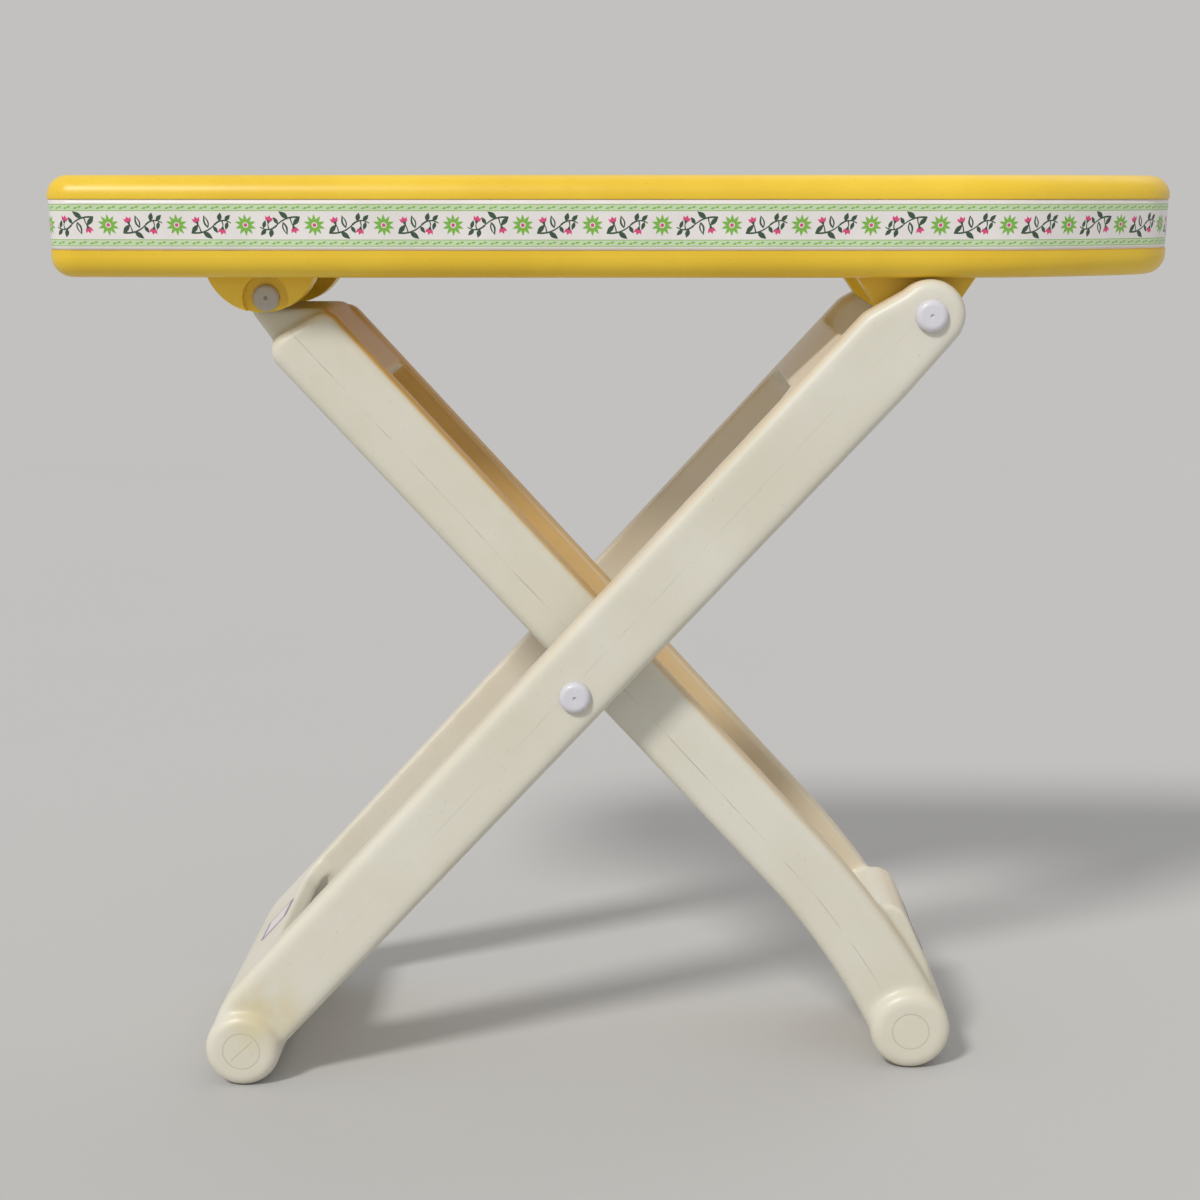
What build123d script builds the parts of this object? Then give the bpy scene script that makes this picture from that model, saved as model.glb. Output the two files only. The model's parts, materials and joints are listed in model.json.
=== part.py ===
from build123d import *
import os
from math import hypot

# Toy ironing board: a hollow moulded board on a folding X of two hollow leg frames.
# Millimetres. Origin on the floor under the middle of the board, +X to the nose, +Z up.

# Board
LENGTH = 711.0
HALF_WIDTH = 110.0
END_HALF_WIDTH = 103.0
BOARD_BOTTOM = 522.5
BOARD_TOP = 585.0
BOARD_DRAFT = 2.4
BOARD_EDGE = 13.0
END_CORNER = 20.0
BOARD_WALL = 2.5
SQUARE_END_X = -LENGTH / 2
WIDEST_X = -60.0
NOSE_START_X = SQUARE_END_X + 577.0
NOSE_ARCS = ((114.0, 21.0), (300.0, 16.0))

# Printed border strip, in a shallow groove round the side of the board
LABEL_BOTTOM = 539.5
LABEL_TOP = 570.0
LABEL_THICK = 0.25
GROOVE_DEPTH = 0.8
GROOVE_MARGIN = 0.5

# Hinge lobes under the board
LOBE_INNER = 55.0
LOBE_OUTER = 76.0
LOBE_WALL = 2.5
ROD_LOBE_X, ROD_LOBE_Z, ROD_LOBE_R = -225.0, 536.2, 36.4
HINGE_LOBE_R = 13.0
HINGE_LOBE_SIDES = ((148.0, 522.5), (158.6, 507.0), (184.0, 489.4), (202.2, 492.8), (222.0, 522.5))
RECESS_R = 14.5
RECESS_DEPTH = 5.0
HINGE_BOSS_R, ROD_BOSS_R = 10.0, 8.5

# Pivot centres, seen from the side
ROD_X, ROD_Z = -222.5, 509.1
HINGE_X, HINGE_Z = 191.4, 500.0
MID_X, MID_Z = -27.8, 260.0
OUTER_FOOT_X, INNER_FOOT_X = -245.0, 193.6

# Leg frames
LEG_WALL = 2.5
OUTER_FOOT_R, INNER_FOOT_R = 24.5, 26.5
FOOT_EDGE = 7.0
ARM_EDGE = 7.0
ARM_FOOT_INSET = 1.5
OUTER_ARM_OUT, OUTER_ARM_IN = 104.0, 79.0
INNER_ARM_OUT, INNER_ARM_IN = 65.0, 42.0
OUTER_FOOT_HALF, INNER_FOOT_HALF = 110.0, 72.0
OUTER_UPPER, OUTER_LOWER_TOP, OUTER_LOWER_FOOT = 30.5, 23.5, 18.5
OUTER_END_R = 22.0
OUTER_NECK = 26.0
SHOULDER_AT = 30.0
HEEL_AT, HEEL_DROP = 4.0, 3.5
TOE_DIRECTION = (-0.68, 0.73)
PANEL_THICK = 12.0
PANEL_OVERLAP = 4.0
WINDOW_CORNER = 16.0
TOP_PANEL_FROM_PIN = 45.0
TOP_PANEL_TO_PIN = 91.0
FOOT_PANEL = 61.0
INNER_HALF = 23.5
INNER_BODY_CORNERS = ((19.0, -26.0), (29.0, 23.5))
INNER_BODY_ROUND = 12.0
INNER_BEND_AT = 499.0
INNER_BOW = 15.0
INNER_HEAD_LENGTH = 85.0
INNER_HEAD_HALF = 50.0
CRADLE_GAP, CRADLE_FLOOR = 0.7, 1.5
CRADLE_LIP, CRADLE_LIP_HEIGHT = 17.0, 6.0
HEAD_TOP_REACH = 34.0
HEAD_BACK = (13.0, 11.0)
PANEL_RISE = ((561.0, 24.0), (564.0, 36.0), (570.0, 43.0), (577.0, 46.0), (584.0, 45.2))
PANEL_SLOPE = ((590.0, 43.2), (618.0, 34.7))
PANEL_UNDER = ((9.0, 22.0), (0.0, 0.0), (-28.0, 2.0), (-64.0, 20.0))
BOSS_R, BOSS_SET_IN, LUG_GAP = 13.0, 1.0, 0.5
FOOT_MARK_R, FOOT_MARK_WIDTH, FOOT_MARK_DEPTH = 12.0, 1.2, 0.6

# Pins
PIN_R = 5.0
PIN_RUN_GAP = 0.08
HEAD_R = 10.0
HEAD_THICK = 5.5
DIMPLE_R = 1.3
ROD_R = 6.0
ROD_HEAD_R = 8.5
ROD_HEAD_THICK = 3.5
CAP_R = 9.0
CAP_THICK, CAP_FLOOR = 4.0, 1.2
CAP_GAP = 0.3
HEAD_ROUNDING = 0.7

# Small blank labels on the legs
TAG_LENGTH, TAG_WIDTH, TAG_THICK, TAG_CORNER = 26.0, 40.0, 0.3, 3.0
TAG_AT = 45.0

# How far a cut runs past a face, and how near two positions count as the same
PAST = 1.0
SAME = 0.01


def leg_plane(start, end):
    """Side plane of a leg: x runs from start to end, y to the leg's upper side."""
    (x0, z0), (x1, z1) = start, end
    return Plane(origin=(x0, 0, z0), x_dir=(x1 - x0, 0, z1 - z0), z_dir=(0, -1, 0))


OUTER_FOOT = (OUTER_FOOT_X, OUTER_FOOT_R)
HINGE = (HINGE_X, HINGE_Z)
ROD = (ROD_X, ROD_Z)
INNER_FOOT = (INNER_FOOT_X, INNER_FOOT_R)
OUTER_LENGTH = hypot(HINGE_X - OUTER_FOOT_X, HINGE_Z - OUTER_FOOT_R)
INNER_LENGTH = hypot(INNER_FOOT_X - ROD_X, INNER_FOOT_R - ROD_Z)
OUTER_PLANE = leg_plane(OUTER_FOOT, HINGE)
INNER_PLANE = leg_plane(ROD, INNER_FOOT)
SIDE_PLANE = Plane(origin=(0, 0, 0), x_dir=(1, 0, 0), z_dir=(0, -1, 0))


def side_disc(x, z, r):
    """Disc in the side view."""
    return SIDE_PLANE * Pos(x, z) * Circle(r)


def slab(face, y_from, y_to):
    """Solid from a side-view face, between two distances across the object."""
    body = extrude(face, amount=(y_to - y_from) / 2, both=True)
    return Pos(0, (y_from + y_to) / 2, 0) * body


def both_sides(solid):
    return solid + mirror(solid, Plane.XZ)


def board_outline():
    """Plan of the board: straight end, slightly bowed sides, pointed round nose."""
    end_y = END_HALF_WIDTH
    side = ThreePointArc((SQUARE_END_X, end_y), (WIDEST_X, HALF_WIDTH), (NOSE_START_X, end_y))
    edges = [Line((SQUARE_END_X, 0), (SQUARE_END_X, end_y)), side]
    for radius, turn in NOSE_ARCS:
        last = edges[-1]
        edges.append(JernArc(last @ 1, last % 1, radius, -turn))
    last = edges[-1]
    heading = last % 1
    tip_r = (last @ 1).Y / heading.X
    tip_x = (last @ 1).X + tip_r * (1 + heading.Y)
    edges.append(RadiusArc(last @ 1, (tip_x, 0), tip_r))
    half = make_face(edges + [Line((tip_x, 0), (SQUARE_END_X, 0))])
    plan = half + mirror(half, Plane.XZ)
    corners = plan.vertices().sort_by(Axis.X)[:2]
    return fillet(corners, END_CORNER), tip_x


def board_block(inset):
    """Board as a solid block, drawn in by inset on every side."""
    plan, tip_x = board_outline()
    if inset:
        plan = offset(plan, -inset)
    top = BOARD_TOP - inset
    height = BOARD_TOP - BOARD_BOTTOM - 2 * inset
    block = extrude(Pos(0, 0, top) * plan, amount=-height, taper=BOARD_DRAFT)
    edges = block.edges().group_by(Axis.Z)
    return fillet(edges[0] + edges[-1], BOARD_EDGE - inset)


def lobe_faces(inset):
    """Side shapes of the rod lobe and the hinge lobe, closed at the top inside the board."""
    ceiling = BOARD_BOTTOM + BOARD_EDGE
    rod_lobe = side_disc(ROD_LOBE_X, ROD_LOBE_Z, ROD_LOBE_R)
    rod_lobe -= SIDE_PLANE * Pos(ROD_LOBE_X, ceiling + LENGTH / 2) * Rectangle(LENGTH, LENGTH)
    first, last = HINGE_LOBE_SIDES[0], HINGE_LOBE_SIDES[-1]
    sides = Polyline((first[0], ceiling), *HINGE_LOBE_SIDES, (last[0], ceiling), close=True)
    hinge_lobe = SIDE_PLANE * make_face(sides) + side_disc(HINGE_X, HINGE_Z, HINGE_LOBE_R)
    if inset:
        return offset(rod_lobe, -inset), offset(hinge_lobe, -inset)
    return rod_lobe, hinge_lobe


def board_shell():
    """Hollow board with four hinge lobes moulded to its underside."""
    groove = side_ring(0, GROOVE_DEPTH, LABEL_BOTTOM - GROOVE_MARGIN, LABEL_TOP + GROOVE_MARGIN)
    outer = board_block(0) - groove
    cavity = board_block(BOARD_WALL)
    for face, hollow, recess in zip(lobe_faces(0), lobe_faces(LOBE_WALL), (RECESS_DEPTH, 0)):
        outer += both_sides(slab(face, LOBE_INNER, LOBE_OUTER))
        cavity += both_sides(slab(hollow, LOBE_INNER + LOBE_WALL, LOBE_OUTER - LOBE_WALL - recess))
    shell = outer - cavity
    shell += both_sides(slab(side_disc(HINGE_X, HINGE_Z, HINGE_BOSS_R), LOBE_INNER, LOBE_OUTER))
    shell += both_sides(slab(side_disc(ROD_X, ROD_Z, ROD_BOSS_R), LOBE_INNER, LOBE_OUTER - RECESS_DEPTH))
    shell -= both_sides(slab(side_disc(ROD_X, ROD_Z, RECESS_R), LOBE_OUTER - RECESS_DEPTH, LOBE_OUTER + PAST))
    shell -= slab(side_disc(ROD_X, ROD_Z, ROD_R), -LOBE_OUTER, LOBE_OUTER)
    shell -= slab(side_disc(HINGE_X, HINGE_Z, PIN_R), -LOBE_OUTER - PAST, LOBE_OUTER + PAST)
    return shell


def side_ring(outside, inside, low, high):
    """Ring round the side of the board, between two insets and two heights."""
    band = Pos(0, 0, (low + high) / 2) * Box(2 * LENGTH, 4 * HALF_WIDTH, high - low)
    return (board_block(outside) - board_block(inside)) & band


def border_labels():
    """Two halves of the printed strip round the board, meeting at the nose and the square end."""
    strip = side_ring(GROOVE_DEPTH - LABEL_THICK, GROOVE_DEPTH, LABEL_BOTTOM, LABEL_TOP)
    near_side = Pos(0, -HALF_WIDTH, BOARD_TOP) * Box(2 * LENGTH, 2 * HALF_WIDTH, LENGTH)
    return strip & near_side, strip - near_side


def outer_heel(inset):
    """Curve from the shoulder of the foot panel down to the foot bar."""
    upper = OUTER_UPPER - inset
    toe = Vector(TOE_DIRECTION) * (OUTER_FOOT_R - ARM_FOOT_INSET - inset)
    return ThreePointArc((SHOULDER_AT, upper), (HEEL_AT, upper - HEEL_DROP), toe)


def outer_profile(inset):
    """Side shape of an outer leg arm, from the foot to the rounded hinge end."""
    low = OUTER_LOWER_FOOT - inset
    upper = OUTER_UPPER - inset
    bend = OUTER_LENGTH - TOP_PANEL_FROM_PIN
    end_r = OUTER_END_R - inset
    neck = (OUTER_LENGTH - OUTER_NECK, upper)
    heel = outer_heel(inset)
    outline = [
        Line(neck, heel @ 0),
        heel,
        Polyline(heel @ 1, (0, -low), (bend, inset - OUTER_LOWER_TOP), (OUTER_LENGTH, -end_r)),
        ThreePointArc((OUTER_LENGTH, -end_r), (OUTER_LENGTH + end_r, 0), (OUTER_LENGTH, end_r)),
        Line((OUTER_LENGTH, end_r), neck),
    ]
    return OUTER_PLANE * make_face(outline)


def rounded_arm(face, y_in, y_out, edge):
    """Leg arm with its long edges rounded on both faces."""
    arm = slab(face, y_in, y_out)
    rims = arm.edges().filter_by(lambda e: abs(e.center().Y - y_in) < SAME or abs(e.center().Y - y_out) < SAME)
    return fillet(rims, edge)


def foot_bar(x, radius, half_width, inset):
    bar = slab(side_disc(x, radius, radius - inset), -half_width + inset, half_width - inset)
    return fillet(bar.edges().filter_by(GeomType.CIRCLE), FOOT_EDGE - inset / 2)


def outer_panels(inset):
    """Cross panels near the hinge and the foot, as one plate with a round-cornered window."""
    start, end = SHOULDER_AT, OUTER_LENGTH - TOP_PANEL_FROM_PIN - inset
    plate = Pos((start + end) / 2, 0) * Rectangle(end - start, 2 * (OUTER_ARM_IN + PANEL_OVERLAP))
    win_from, win_to = FOOT_PANEL, OUTER_LENGTH - TOP_PANEL_TO_PIN
    window = Pos((win_from + win_to) / 2, 0) * RectangleRounded(
        win_to - win_from + 2 * inset, 2 * OUTER_ARM_IN + 2 * inset, WINDOW_CORNER)
    across = Plane(origin=OUTER_PLANE.from_local_coords((0, OUTER_UPPER - inset, 0)),
                   x_dir=OUTER_PLANE.x_dir, z_dir=-OUTER_PLANE.y_dir)
    return extrude(across * (plate - window), amount=PANEL_THICK - 2 * inset)


def outer_foot_web(inset):
    """Web that carries the foot panel down into the foot bar between the arms."""
    upper = OUTER_UPPER - inset
    past = SHOULDER_AT + PANEL_OVERLAP
    heel = outer_heel(inset)
    under = Polyline(heel @ 1, (0, 0), (past, OUTER_UPPER - PANEL_THICK + inset), (past, upper), heel @ 0)
    half = OUTER_ARM_IN + PANEL_OVERLAP
    return slab(OUTER_PLANE * make_face([heel, under]), -half, half)


def outer_form(inset):
    edge = ARM_EDGE - inset
    arm = rounded_arm(outer_profile(inset), OUTER_ARM_IN + inset, OUTER_ARM_OUT - inset, edge)
    foot = outer_foot_web(inset) + foot_bar(OUTER_FOOT_X, OUTER_FOOT_R, OUTER_FOOT_HALF, inset)
    return both_sides(arm) + outer_panels(inset) + foot


def foot_marks(x, z, half_width):
    """Shallow moulded ring on both ends of a foot bar."""
    ring = side_disc(x, z, FOOT_MARK_R) - side_disc(x, z, FOOT_MARK_R - FOOT_MARK_WIDTH)
    return both_sides(slab(ring, half_width - FOOT_MARK_DEPTH, half_width + PAST))


def outer_leg():
    """Outer leg frame, with bearing bosses round its four pin holes."""
    leg = outer_form(0) - outer_form(LEG_WALL)
    for x, z in (HINGE, (MID_X, MID_Z)):
        boss = slab(side_disc(x, z, BOSS_R), OUTER_ARM_IN + BOSS_SET_IN, OUTER_ARM_OUT - BOSS_SET_IN)
        leg += both_sides(boss)
    leg -= slab(side_disc(HINGE_X, HINGE_Z, PIN_R + PIN_RUN_GAP), -OUTER_ARM_OUT - PAST, OUTER_ARM_OUT + PAST)
    leg -= slab(side_disc(MID_X, MID_Z, PIN_R), -OUTER_ARM_OUT - PAST, OUTER_ARM_OUT + PAST)
    return leg - foot_marks(OUTER_FOOT_X, OUTER_FOOT_R, OUTER_FOOT_HALF)


def inner_profile(inset):
    """Side shape of an inner leg arm: straight, then curving down into the foot."""
    bend, foot = Vector(INNER_BEND_AT, INNER_BOW), Vector(INNER_LENGTH, 0)
    (low_t, low_s), (high_t, high_s) = INNER_BODY_CORNERS
    low, high = (low_t + inset, low_s + inset), (high_t + inset, high_s - inset)
    along = bend.normalized()
    across = Vector(-along.Y, along.X) * (INNER_HALF - inset)
    tail = TangentArc(bend, foot, tangent=along) % 1
    foot_r = INNER_FOOT_R - ARM_FOOT_INSET - inset
    side = Vector(-tail.Y, tail.X) * foot_r
    outline = [
        Line(high, bend + across),
        TangentArc(bend + across, foot + side, tangent=along),
        ThreePointArc(foot + side, foot + tail * foot_r, foot - side),
        TangentArc(bend - across, foot - side, tangent=along),
        Polyline(bend - across, low, high),
    ]
    face = make_face(outline)
    corners = face.vertices().sort_by(Axis.X)[:2]
    return INNER_PLANE * fillet(corners, INNER_BODY_ROUND - inset)


def inner_head(inset):
    """Head block between the arms, ending in a cradle that is open towards the nose."""
    seat = ROD_R + CRADLE_GAP + inset
    floor = ROD_Z - ROD_R - CRADLE_FLOOR - inset
    lip = ROD_Z + CRADLE_LIP_HEIGHT - inset
    low = INNER_PLANE.from_local_coords((INNER_HEAD_LENGTH - inset, INNER_HALF - inset, 0))
    low_left = INNER_PLANE.from_local_coords((INNER_HEAD_LENGTH - inset, -INNER_HALF + inset, 0))
    outline = Polyline(
        (ROD_X - CRADLE_LIP + inset, lip), (ROD_X - seat, lip), (ROD_X - seat, floor),
        (ROD_X + HEAD_TOP_REACH - inset, floor), (low.X, low.Z), (low_left.X, low_left.Z),
        (ROD_X - HEAD_BACK[0] + inset, ROD_Z - HEAD_BACK[1]), close=True)
    return slab(SIDE_PLANE * make_face(outline), -INNER_HEAD_HALF + inset, INNER_HEAD_HALF - inset)


def inner_foot_panel(inset):
    """Raised cross panel above the inner foot: a rounded step, then a slope down to the bar."""
    rise = [(x + inset, z - inset) for x, z in PANEL_RISE]
    slope = [(x, z - inset) for x, z in PANEL_SLOPE]
    (toe_x, toe_z), middle, *below = PANEL_UNDER
    under = [(toe_x, toe_z - inset), middle, *((x, z + inset) for x, z in below)]
    outline = Polyline(*rise, *slope, *((INNER_LENGTH + x, z) for x, z in under), close=True)
    half = INNER_ARM_IN + PANEL_OVERLAP - inset
    return slab(INNER_PLANE * make_face(outline), -half, half)


def inner_form(inset):
    edge = ARM_EDGE - inset
    arm = rounded_arm(inner_profile(inset), INNER_ARM_IN + inset, INNER_ARM_OUT - inset, edge)
    bar = foot_bar(INNER_FOOT_X, INNER_FOOT_R, INNER_FOOT_HALF, inset)
    middle = inner_head(inset) + inner_foot_panel(inset) + bar
    return middle + arm + mirror(arm, Plane.XZ)


def inner_leg():
    """Inner leg frame, with lugs for the pivot pins that stand out on its lower side."""
    leg = inner_form(0) - inner_form(LEG_WALL)
    lug = slab(side_disc(MID_X, MID_Z, BOSS_R), INNER_ARM_IN + BOSS_SET_IN, OUTER_ARM_IN - LUG_GAP)
    leg += both_sides(lug)
    leg -= slab(side_disc(MID_X, MID_Z, PIN_R + PIN_RUN_GAP), -OUTER_ARM_IN, OUTER_ARM_IN)
    return leg - foot_marks(INNER_FOOT_X, INNER_FOOT_R, INNER_FOOT_HALF)


def pin(x, z, head_y, tip_y, shank_r, head_r, head_thick):
    """Moulded pin with a domed head outside head_y; the shank runs inwards to tip_y."""
    head = slab(side_disc(x, z, head_r), head_y, head_y + head_thick)
    rim = head.edges().filter_by(lambda e: abs(e.center().Y - head_y - head_thick) < SAME)
    head = fillet(rim, head_thick * HEAD_ROUNDING)
    shank = slab(side_disc(x, z, shank_r), tip_y, head_y)
    dimple = Pos(x, head_y + head_thick, z) * Sphere(DIMPLE_R)
    return head + shank - dimple


def cap(x, z, y_from, shank_r):
    """Push-on cap that holds a pin, with the pin's end inside it."""
    body = slab(side_disc(x, z, CAP_R), y_from - CAP_THICK, y_from)
    rim = body.edges().filter_by(lambda e: abs(e.center().Y - y_from + CAP_THICK) < SAME)
    socket = slab(side_disc(x, z, shank_r), y_from - CAP_THICK + CAP_FLOOR, y_from + PAST)
    return fillet(rim, CAP_FLOOR) - socket


def tag(plane, along, height):
    """Small blank label lying on a leg's cross panel."""
    face = Plane(origin=plane.from_local_coords((along, height, 0)), x_dir=plane.x_dir, z_dir=plane.y_dir)
    return extrude(face * RectangleRounded(TAG_LENGTH, TAG_WIDTH, TAG_CORNER), amount=TAG_THICK)


def panel_tag():
    """Blank label on the inner leg's sloping foot panel."""
    start, end = PANEL_SLOPE
    a = INNER_PLANE.from_local_coords((*start, 0))
    b = INNER_PLANE.from_local_coords((*end, 0))
    plane = leg_plane((a.X, a.Z), (b.X, b.Z))
    return tag(plane, hypot(end[0] - start[0], end[1] - start[1]) / 2, 0)


def make_parts():
    near_label, far_label = border_labels()
    rod_seat = LOBE_OUTER - RECESS_DEPTH
    rod = pin(ROD_X, ROD_Z, rod_seat, -rod_seat - CAP_THICK + CAP_FLOOR, ROD_R, ROD_HEAD_R, ROD_HEAD_THICK)
    pin_end = LOBE_INNER - CAP_THICK + CAP_FLOOR
    hinge_pin = pin(HINGE_X, HINGE_Z, OUTER_ARM_OUT, pin_end, PIN_R, HEAD_R, HEAD_THICK)
    pivot_pin = pin(MID_X, MID_Z, OUTER_ARM_OUT, INNER_ARM_IN - CAP_GAP - CAP_THICK + CAP_FLOOR,
                    PIN_R, HEAD_R, HEAD_THICK)
    rod_cap = Pos(0, 2 * rod_seat, 0) * mirror(cap(ROD_X, ROD_Z, rod_seat, ROD_R), Plane.XZ)
    hinge_cap = cap(HINGE_X, HINGE_Z, LOBE_INNER, PIN_R)
    pivot_cap = cap(MID_X, MID_Z, INNER_ARM_IN - CAP_GAP, PIN_R)
    parts = {
        "board_shell": board_shell(),
        "border_label_near": near_label,
        "border_label_far": far_label,
        "cradle_rod": mirror(rod, Plane.XZ),
        "cradle_rod_cap": rod_cap,
        "outer_leg": outer_leg(),
        "outer_leg_tag": tag(OUTER_PLANE, TAG_AT, OUTER_UPPER),
        "inner_leg": inner_leg(),
        "inner_leg_tag": panel_tag(),
    }
    for name, piece in (("hinge_pin", hinge_pin), ("hinge_pin_cap", hinge_cap),
                        ("pivot_pin", pivot_pin), ("pivot_pin_cap", pivot_cap)):
        parts[name + "_far"] = piece
        parts[name + "_near"] = mirror(piece, Plane.XZ)
    return parts


def export_parts(parts):
    os.makedirs("parts", exist_ok=True)
    for name, shape in parts.items():
        export_step(shape, f"parts/{name}.step")


export_parts(make_parts())
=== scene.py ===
"""Toy ironing board: finished surfaces, printed border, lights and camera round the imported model."""
import json
from math import cos, pi, radians, sin, sqrt

import bmesh
import bpy
from bpy.props import FloatProperty, FloatVectorProperty, IntProperty, PointerProperty
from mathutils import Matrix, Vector
from mathutils.bvhtree import BVHTree
from mathutils.geometry import delaunay_2d_cdt, intersect_point_tri_2d


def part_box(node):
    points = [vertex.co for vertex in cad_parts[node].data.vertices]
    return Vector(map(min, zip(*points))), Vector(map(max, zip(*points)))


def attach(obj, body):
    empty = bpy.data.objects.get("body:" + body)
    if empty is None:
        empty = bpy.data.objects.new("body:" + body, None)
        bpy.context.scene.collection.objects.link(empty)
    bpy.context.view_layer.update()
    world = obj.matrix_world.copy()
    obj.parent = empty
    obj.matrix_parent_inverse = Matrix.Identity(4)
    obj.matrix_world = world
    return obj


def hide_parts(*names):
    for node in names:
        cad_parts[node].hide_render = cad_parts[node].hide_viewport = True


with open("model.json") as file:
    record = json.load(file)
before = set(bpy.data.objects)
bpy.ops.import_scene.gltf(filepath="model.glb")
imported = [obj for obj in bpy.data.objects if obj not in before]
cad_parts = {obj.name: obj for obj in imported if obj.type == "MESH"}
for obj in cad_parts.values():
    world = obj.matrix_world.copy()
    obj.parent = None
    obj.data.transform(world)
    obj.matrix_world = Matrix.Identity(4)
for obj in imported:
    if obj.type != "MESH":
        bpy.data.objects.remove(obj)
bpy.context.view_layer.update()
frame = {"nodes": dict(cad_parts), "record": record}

bl_info = {
    "name": "Toy Ironing Board",
    "version": (1, 0, 0),
    "blender": (4, 5, 0),
    "location": "View3D > Sidebar > Ironing Board",
    "description": "Builds the toy ironing board's plastic, printed border, lights and camera",
    "category": "Object",
}

MM = 0.001
LABEL_LOW, LABEL_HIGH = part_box("border_label_near")
JOINTS = {joint["name"]: Vector(joint["pos_m"]) for joint in frame["record"]["behaviour"]["joints"]}
HINGE = JOINTS["outer_fold"]


def centre(node):
    low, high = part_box(node)
    return (low + high) / 2


# ---------------------------------------------------------------- settings

class BoardSettings(bpy.types.PropertyGroup):
    """Colours of the moulded plastic."""
    yellow: FloatVectorProperty(
        name="Board yellow", description="Main colour of the board", subtype="COLOR",
        size=3, min=0, max=1, default=(0.86, 0.58, 0.035))
    cream: FloatVectorProperty(
        name="Leg cream", description="Main colour of the leg frames", subtype="COLOR",
        size=3, min=0, max=1, default=(0.71, 0.685, 0.595))
    white: FloatVectorProperty(
        name="Pin white", description="Colour of the pins and their caps", subtype="COLOR",
        size=3, min=0, max=1, default=(0.68, 0.67, 0.72))
    leg_voxel: FloatProperty(
        name="Leg mesh size", description="Size of the cells the legs are remeshed with",
        subtype="DISTANCE", unit="LENGTH", min=0.001, max=0.01, default=0.0018)
    leg_rounds: IntProperty(
        name="Leg smoothing", description="Smoothing passes that soften the moulded corners",
        min=0, max=40, default=9)


class BorderSettings(bpy.types.PropertyGroup):
    """Sizes and inks of the printed border."""
    pitch: FloatProperty(
        name="Flower pitch", description="Distance from one daisy to the next along the border",
        subtype="DISTANCE", unit="LENGTH", min=0.02, max=0.1, default=0.0422)
    paper: FloatVectorProperty(
        name="Paper", description="Colour of the strip's paper", subtype="COLOR",
        size=3, min=0, max=1, default=(0.84, 0.80, 0.78))
    lime: FloatVectorProperty(
        name="Petal ink", description="Ink of the daisies' petals", subtype="COLOR",
        size=3, min=0, max=1, default=(0.20, 0.48, 0.05))
    pink: FloatVectorProperty(
        name="Bud ink", description="Ink of the buds and the daisies' centres", subtype="COLOR",
        size=3, min=0, max=1, default=(0.72, 0.06, 0.22))
    leaf: FloatVectorProperty(
        name="Leaf ink", description="Ink of the stems and leaves", subtype="COLOR",
        size=3, min=0, max=1, default=(0.032, 0.075, 0.035))
    edging: FloatVectorProperty(
        name="Edging ink", description="Pale ink of the two edging bands", subtype="COLOR",
        size=3, min=0, max=1, default=(0.60, 0.72, 0.47))


class StageSettings(bpy.types.PropertyGroup):
    """Camera, floor and lights."""
    distance: FloatProperty(
        name="Camera distance", description="From the camera to the board's middle plane",
        subtype="DISTANCE", unit="LENGTH", min=0.5, max=5, default=1.5255)
    height: FloatProperty(
        name="Camera height", description="Height of the camera above the floor",
        subtype="DISTANCE", unit="LENGTH", min=0, max=2, default=0.5759)
    sideways: FloatProperty(
        name="Camera offset", description="Camera's place along the board",
        subtype="DISTANCE", unit="LENGTH", min=-1, max=1, default=0.0129)
    tilt: FloatProperty(
        name="Camera tilt", description="How far the camera looks down",
        subtype="ANGLE", unit="ROTATION", min=0, max=1, default=radians(10.11))
    turn: FloatProperty(
        name="Camera turn", description="How far the camera turns to its left",
        subtype="ANGLE", unit="ROTATION", min=-1, max=1, default=radians(1.0))
    lens: FloatProperty(
        name="Focal length", description="Focal length in millimetres on a 36 mm sensor",
        min=20, max=200, default=69.0)
    floor: FloatVectorProperty(
        name="Floor", description="Colour of the floor", subtype="COLOR",
        size=3, min=0, max=1, default=(0.516, 0.51, 0.5))
    backdrop: FloatVectorProperty(
        name="Backdrop", description="Plain tone seen beyond the floor", subtype="COLOR",
        size=3, min=0, max=1, default=(0.539, 0.533, 0.521))


# ---------------------------------------------------------------- shared effects

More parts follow.
